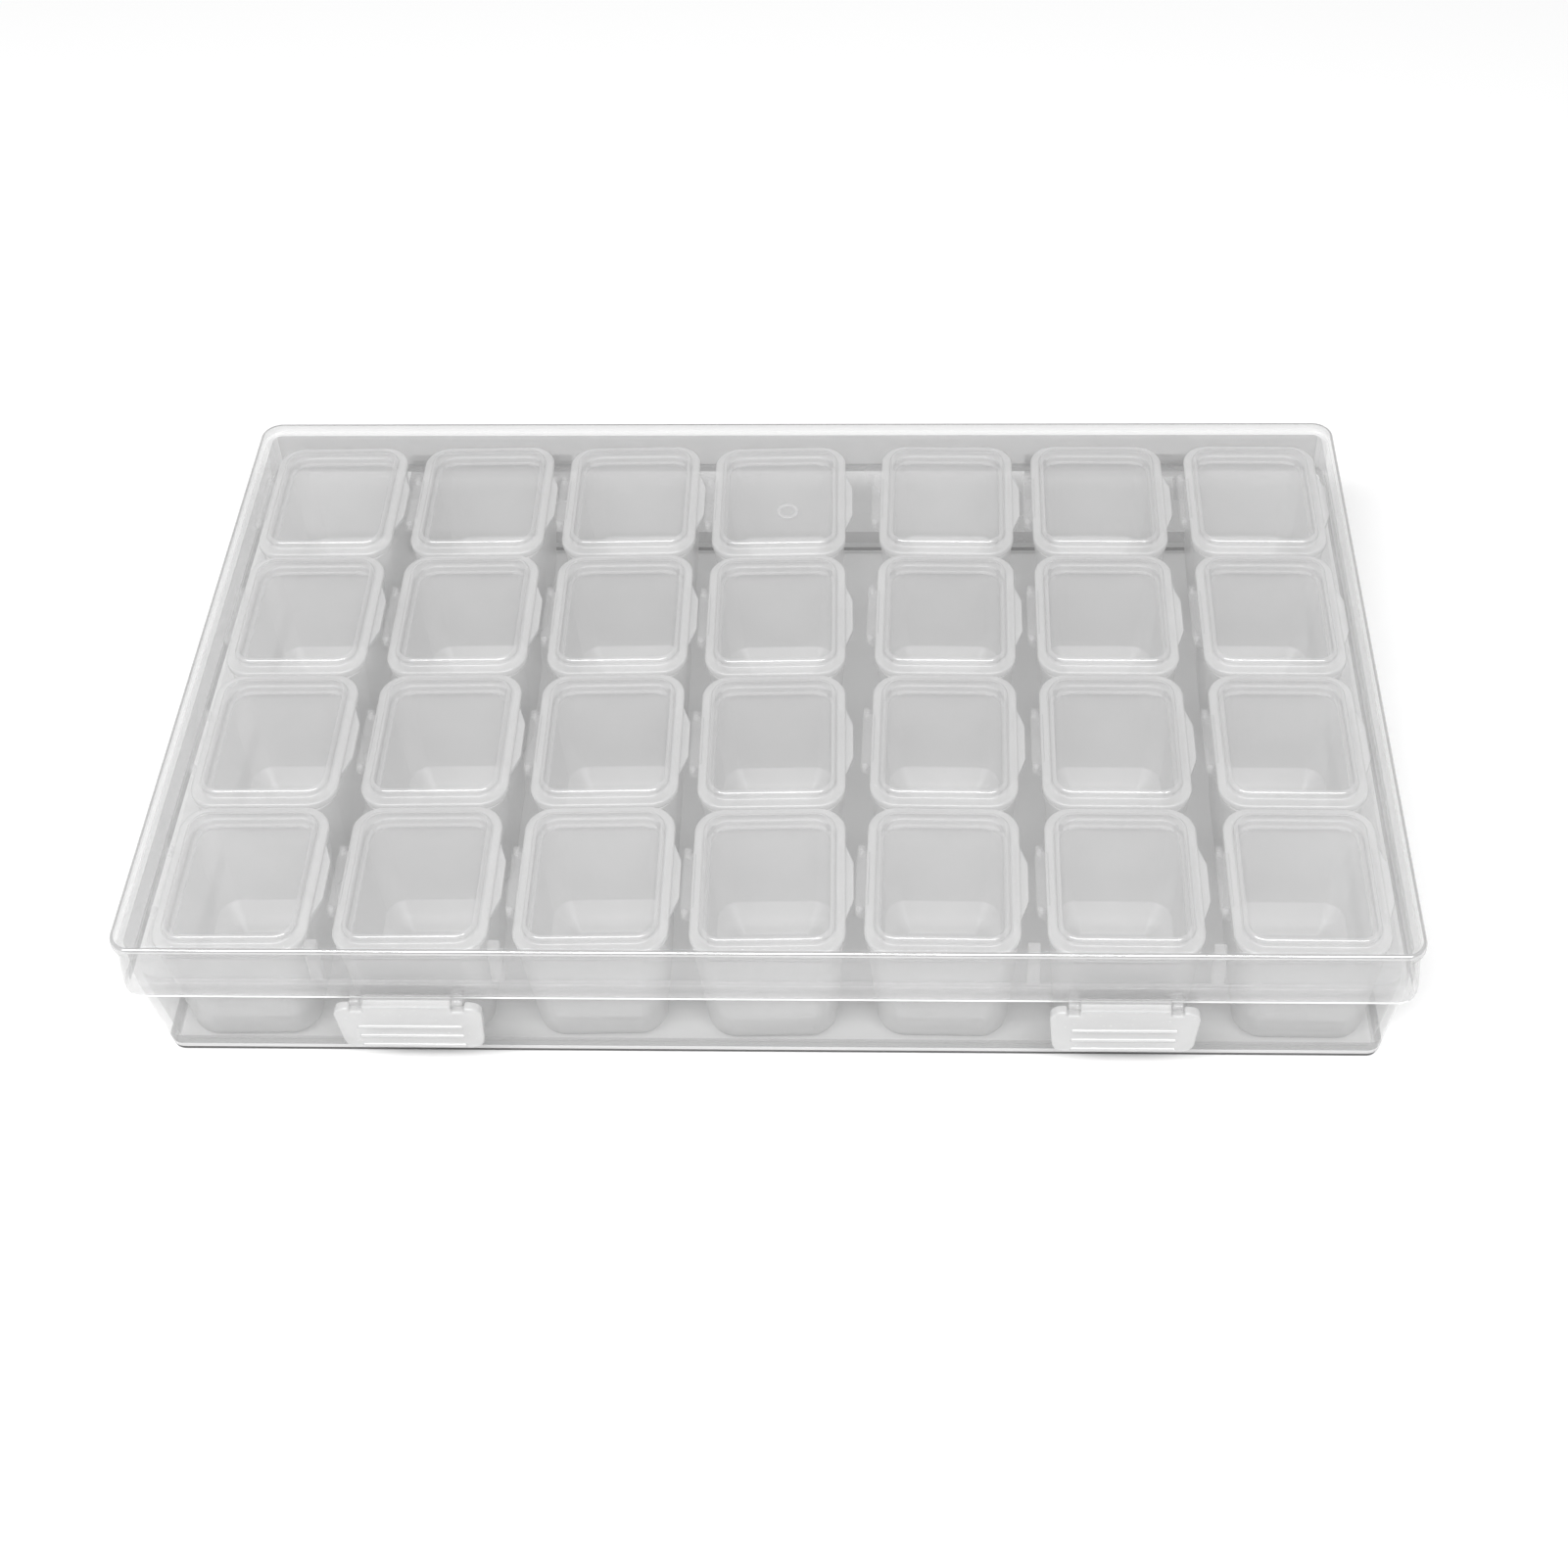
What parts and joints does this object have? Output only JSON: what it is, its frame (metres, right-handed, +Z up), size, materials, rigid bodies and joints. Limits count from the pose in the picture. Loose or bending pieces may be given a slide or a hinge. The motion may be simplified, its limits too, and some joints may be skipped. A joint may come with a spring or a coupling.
{
  "type": "bead organizer case",
  "caption": "Clear rectangular storage case with a hinged, latched lid over lift-out strips of small cups, each cup with its own flip lid.",
  "frame": {"origin": "underside of the base, at the middle of the case", "axes": "+X to the right seen from the front, +Y to the hinge at the back, -Y to the latches, +Z up"},
  "size_m": [0.175, 0.1141, 0.0265],
  "materials": {
    "case_clear": "clear polypropylene, glossy outside",
    "cup_frosted": "translucent polypropylene, satin",
    "cup_lid_frosted": "translucent polypropylene, clearer window, frosted rim",
    "latch_frosted": "frosted polypropylene, satin"
  },
  "bodies": {
    "case": {"case_base": "case_clear", "strip_1": "cup_frosted", "strip_2": "cup_frosted", "strip_3": "cup_frosted", "strip_4": "cup_frosted", "strip_5": "cup_frosted", "strip_6": "cup_frosted", "strip_7": "cup_frosted"},
    "case_lid": {"case_lid": "case_clear"},
    "latch_left": {"latch_left": "latch_frosted"},
    "latch_right": {"latch_right": "latch_frosted"},
    "cup_lid_1_1": {"cup_lid_1_1": "cup_lid_frosted"},
    "cup_lid_1_2": {"cup_lid_1_2": "cup_lid_frosted"},
    "cup_lid_1_3": {"cup_lid_1_3": "cup_lid_frosted"},
    "cup_lid_1_4": {"cup_lid_1_4": "cup_lid_frosted"},
    "cup_lid_2_1": {"cup_lid_2_1": "cup_lid_frosted"},
    "cup_lid_2_2": {"cup_lid_2_2": "cup_lid_frosted"},
    "cup_lid_2_3": {"cup_lid_2_3": "cup_lid_frosted"},
    "cup_lid_2_4": {"cup_lid_2_4": "cup_lid_frosted"},
    "cup_lid_3_1": {"cup_lid_3_1": "cup_lid_frosted"},
    "cup_lid_3_2": {"cup_lid_3_2": "cup_lid_frosted"},
    "cup_lid_3_3": {"cup_lid_3_3": "cup_lid_frosted"},
    "cup_lid_3_4": {"cup_lid_3_4": "cup_lid_frosted"},
    "cup_lid_4_1": {"cup_lid_4_1": "cup_lid_frosted"},
    "cup_lid_4_2": {"cup_lid_4_2": "cup_lid_frosted"},
    "cup_lid_4_3": {"cup_lid_4_3": "cup_lid_frosted"},
    "cup_lid_4_4": {"cup_lid_4_4": "cup_lid_frosted"},
    "cup_lid_5_1": {"cup_lid_5_1": "cup_lid_frosted"},
    "cup_lid_5_2": {"cup_lid_5_2": "cup_lid_frosted"},
    "cup_lid_5_3": {"cup_lid_5_3": "cup_lid_frosted"},
    "cup_lid_5_4": {"cup_lid_5_4": "cup_lid_frosted"},
    "cup_lid_6_1": {"cup_lid_6_1": "cup_lid_frosted"},
    "cup_lid_6_2": {"cup_lid_6_2": "cup_lid_frosted"},
    "cup_lid_6_3": {"cup_lid_6_3": "cup_lid_frosted"},
    "cup_lid_6_4": {"cup_lid_6_4": "cup_lid_frosted"},
    "cup_lid_7_1": {"cup_lid_7_1": "cup_lid_frosted"},
    "cup_lid_7_2": {"cup_lid_7_2": "cup_lid_frosted"},
    "cup_lid_7_3": {"cup_lid_7_3": "cup_lid_frosted"},
    "cup_lid_7_4": {"cup_lid_7_4": "cup_lid_frosted"}
  },
  "joints": [
    {"name": "case_lid_hinge", "type": "hinge", "parent": "case", "child": "case_lid", "pos_m": [0, 0.056, 0.015], "axis": [-1, 0, 0], "range_deg": [0, 180]},
    {"name": "latch_left_hinge", "type": "hinge", "parent": "case_lid", "child": "latch_left", "pos_m": [-0.04819, -0.055, 0.0174], "axis": [-1, 0, 0], "range_deg": [0, 120]},
    {"name": "latch_right_hinge", "type": "hinge", "parent": "case_lid", "child": "latch_right", "pos_m": [0.04819, -0.055, 0.0174], "axis": [-1, 0, 0], "range_deg": [0, 120]},
    {"name": "cup_lid_1_1_hinge", "type": "hinge", "parent": "case", "child": "cup_lid_1_1", "pos_m": [-0.08403, -0.03884, 0.02265], "axis": [0.0129, -0.9999, 0], "range_deg": [0, 90]},
    {"name": "cup_lid_1_2_hinge", "type": "hinge", "parent": "case", "child": "cup_lid_1_2", "pos_m": [-0.08436, -0.01314, 0.02265], "axis": [0.0129, -0.9999, 0], "range_deg": [0, 90]},
    {"name": "cup_lid_1_3_hinge", "type": "hinge", "parent": "case", "child": "cup_lid_1_3", "pos_m": [-0.08469, 0.01255, 0.02265], "axis": [0.0129, -0.9999, 0], "range_deg": [0, 90]},
    {"name": "cup_lid_1_4_hinge", "type": "hinge", "parent": "case", "child": "cup_lid_1_4", "pos_m": [-0.08503, 0.03825, 0.02265], "axis": [0.0129, -0.9999, 0], "range_deg": [0, 90]},
    {"name": "cup_lid_2_1_hinge", "type": "hinge", "parent": "case", "child": "cup_lid_2_1", "pos_m": [-0.05954, -0.03869, 0.02265], "axis": [0.0175, -0.9998, 0], "range_deg": [0, 90]},
    {"name": "cup_lid_2_2_hinge", "type": "hinge", "parent": "case", "child": "cup_lid_2_2", "pos_m": [-0.05999, -0.013, 0.02265], "axis": [0.0175, -0.9998, 0], "range_deg": [0, 90]},
    {"name": "cup_lid_2_3_hinge", "type": "hinge", "parent": "case", "child": "cup_lid_2_3", "pos_m": [-0.06044, 0.0127, 0.02265], "axis": [0.0175, -0.9998, 0], "range_deg": [0, 90]},
    {"name": "cup_lid_2_4_hinge", "type": "hinge", "parent": "case", "child": "cup_lid_2_4", "pos_m": [-0.06089, 0.0384, 0.02265], "axis": [0.0175, -0.9998, 0], "range_deg": [0, 90]},
    {"name": "cup_lid_3_1_hinge", "type": "hinge", "parent": "case", "child": "cup_lid_3_1", "pos_m": [-0.03515, -0.0387, 0.02265], "axis": [0.0226, -0.9997, 0], "range_deg": [0, 90]},
    {"name": "cup_lid_3_2_hinge", "type": "hinge", "parent": "case", "child": "cup_lid_3_2", "pos_m": [-0.03573, -0.013, 0.02265], "axis": [0.0226, -0.9997, 0], "range_deg": [0, 90]},
    {"name": "cup_lid_3_3_hinge", "type": "hinge", "parent": "case", "child": "cup_lid_3_3", "pos_m": [-0.03631, 0.01269, 0.02265], "axis": [0.0226, -0.9997, 0], "range_deg": [0, 90]},
    {"name": "cup_lid_3_4_hinge", "type": "hinge", "parent": "case", "child": "cup_lid_3_4", "pos_m": [-0.03689, 0.03838, 0.02265], "axis": [0.0226, -0.9997, 0], "range_deg": [0, 90]},
    {"name": "cup_lid_4_1_hinge", "type": "hinge", "parent": "case", "child": "cup_lid_4_1", "pos_m": [-0.01128, -0.03891, 0.02265], "axis": [0.0244, -0.9997, 0], "range_deg": [0, 90]},
    {"name": "cup_lid_4_2_hinge", "type": "hinge", "parent": "case", "child": "cup_lid_4_2", "pos_m": [-0.01191, -0.01322, 0.02265], "axis": [0.0244, -0.9997, 0], "range_deg": [0, 90]},
    {"name": "cup_lid_4_3_hinge", "type": "hinge", "parent": "case", "child": "cup_lid_4_3", "pos_m": [-0.01253, 0.01247, 0.02265], "axis": [0.0244, -0.9997, 0], "range_deg": [0, 90]},
    {"name": "cup_lid_4_4_hinge", "type": "hinge", "parent": "case", "child": "cup_lid_4_4", "pos_m": [-0.01316, 0.03816, 0.02265], "axis": [0.0244, -0.9997, 0], "range_deg": [0, 90]},
    {"name": "cup_lid_5_1_hinge", "type": "hinge", "parent": "case", "child": "cup_lid_5_1", "pos_m": [0.01261, -0.03826, 0.02265], "axis": [-0.0123, -0.9999, 0], "range_deg": [0, 90]},
    {"name": "cup_lid_5_2_hinge", "type": "hinge", "parent": "case", "child": "cup_lid_5_2", "pos_m": [0.01292, -0.01256, 0.02265], "axis": [-0.0123, -0.9999, 0], "range_deg": [0, 90]},
    {"name": "cup_lid_5_3_hinge", "type": "hinge", "parent": "case", "child": "cup_lid_5_3", "pos_m": [0.01324, 0.01314, 0.02265], "axis": [-0.0123, -0.9999, 0], "range_deg": [0, 90]},
    {"name": "cup_lid_5_4_hinge", "type": "hinge", "parent": "case", "child": "cup_lid_5_4", "pos_m": [0.01356, 0.03884, 0.02265], "axis": [-0.0123, -0.9999, 0], "range_deg": [0, 90]},
    {"name": "cup_lid_6_1_hinge", "type": "hinge", "parent": "case", "child": "cup_lid_6_1", "pos_m": [0.0372, -0.03827, 0.02265], "axis": [-0.007, -1, 0], "range_deg": [0, 90]},
    {"name": "cup_lid_6_2_hinge", "type": "hinge", "parent": "case", "child": "cup_lid_6_2", "pos_m": [0.03738, -0.01257, 0.02265], "axis": [-0.007, -1, 0], "range_deg": [0, 90]},
    {"name": "cup_lid_6_3_hinge", "type": "hinge", "parent": "case", "child": "cup_lid_6_3", "pos_m": [0.03756, 0.01313, 0.02265], "axis": [-0.007, -1, 0], "range_deg": [0, 90]},
    {"name": "cup_lid_6_4_hinge", "type": "hinge", "parent": "case", "child": "cup_lid_6_4", "pos_m": [0.03775, 0.03883, 0.02265], "axis": [-0.007, -1, 0], "range_deg": [0, 90]},
    {"name": "cup_lid_7_1_hinge", "type": "hinge", "parent": "case", "child": "cup_lid_7_1", "pos_m": [0.06201, -0.03827, 0.02265], "axis": [-0.007, -1, 0], "range_deg": [0, 90]},
    {"name": "cup_lid_7_2_hinge", "type": "hinge", "parent": "case", "child": "cup_lid_7_2", "pos_m": [0.06219, -0.01257, 0.02265], "axis": [-0.007, -1, 0], "range_deg": [0, 90]},
    {"name": "cup_lid_7_3_hinge", "type": "hinge", "parent": "case", "child": "cup_lid_7_3", "pos_m": [0.06237, 0.01313, 0.02265], "axis": [-0.007, -1, 0], "range_deg": [0, 90]},
    {"name": "cup_lid_7_4_hinge", "type": "hinge", "parent": "case", "child": "cup_lid_7_4", "pos_m": [0.06255, 0.03883, 0.02265], "axis": [-0.007, -1, 0], "range_deg": [0, 90]}
  ],
  "couplings": [
    {"joint": "cup_lid_1_1_hinge", "follows": "case_lid_hinge", "ratio": 0.5},
    {"joint": "cup_lid_1_2_hinge", "follows": "case_lid_hinge", "ratio": 0.5},
    {"joint": "cup_lid_1_3_hinge", "follows": "case_lid_hinge", "ratio": 0.5},
    {"joint": "cup_lid_1_4_hinge", "follows": "case_lid_hinge", "ratio": 0.5},
    {"joint": "cup_lid_2_1_hinge", "follows": "case_lid_hinge", "ratio": 0.5},
    {"joint": "cup_lid_2_2_hinge", "follows": "case_lid_hinge", "ratio": 0.5},
    {"joint": "cup_lid_2_3_hinge", "follows": "case_lid_hinge", "ratio": 0.5},
    {"joint": "cup_lid_2_4_hinge", "follows": "case_lid_hinge", "ratio": 0.5},
    {"joint": "cup_lid_3_1_hinge", "follows": "case_lid_hinge", "ratio": 0.5},
    {"joint": "cup_lid_3_2_hinge", "follows": "case_lid_hinge", "ratio": 0.5},
    {"joint": "cup_lid_3_3_hinge", "follows": "case_lid_hinge", "ratio": 0.5},
    {"joint": "cup_lid_3_4_hinge", "follows": "case_lid_hinge", "ratio": 0.5},
    {"joint": "cup_lid_4_1_hinge", "follows": "case_lid_hinge", "ratio": 0.5},
    {"joint": "cup_lid_4_2_hinge", "follows": "case_lid_hinge", "ratio": 0.5},
    {"joint": "cup_lid_4_3_hinge", "follows": "case_lid_hinge", "ratio": 0.5},
    {"joint": "cup_lid_4_4_hinge", "follows": "case_lid_hinge", "ratio": 0.5},
    {"joint": "cup_lid_5_1_hinge", "follows": "case_lid_hinge", "ratio": 0.5},
    {"joint": "cup_lid_5_2_hinge", "follows": "case_lid_hinge", "ratio": 0.5},
    {"joint": "cup_lid_5_3_hinge", "follows": "case_lid_hinge", "ratio": 0.5},
    {"joint": "cup_lid_5_4_hinge", "follows": "case_lid_hinge", "ratio": 0.5},
    {"joint": "cup_lid_6_1_hinge", "follows": "case_lid_hinge", "ratio": 0.5},
    {"joint": "cup_lid_6_2_hinge", "follows": "case_lid_hinge", "ratio": 0.5},
    {"joint": "cup_lid_6_3_hinge", "follows": "case_lid_hinge", "ratio": 0.5},
    {"joint": "cup_lid_6_4_hinge", "follows": "case_lid_hinge", "ratio": 0.5},
    {"joint": "cup_lid_7_1_hinge", "follows": "case_lid_hinge", "ratio": 0.5},
    {"joint": "cup_lid_7_2_hinge", "follows": "case_lid_hinge", "ratio": 0.5},
    {"joint": "cup_lid_7_3_hinge", "follows": "case_lid_hinge", "ratio": 0.5},
    {"joint": "cup_lid_7_4_hinge", "follows": "case_lid_hinge", "ratio": 0.5}
  ]
}
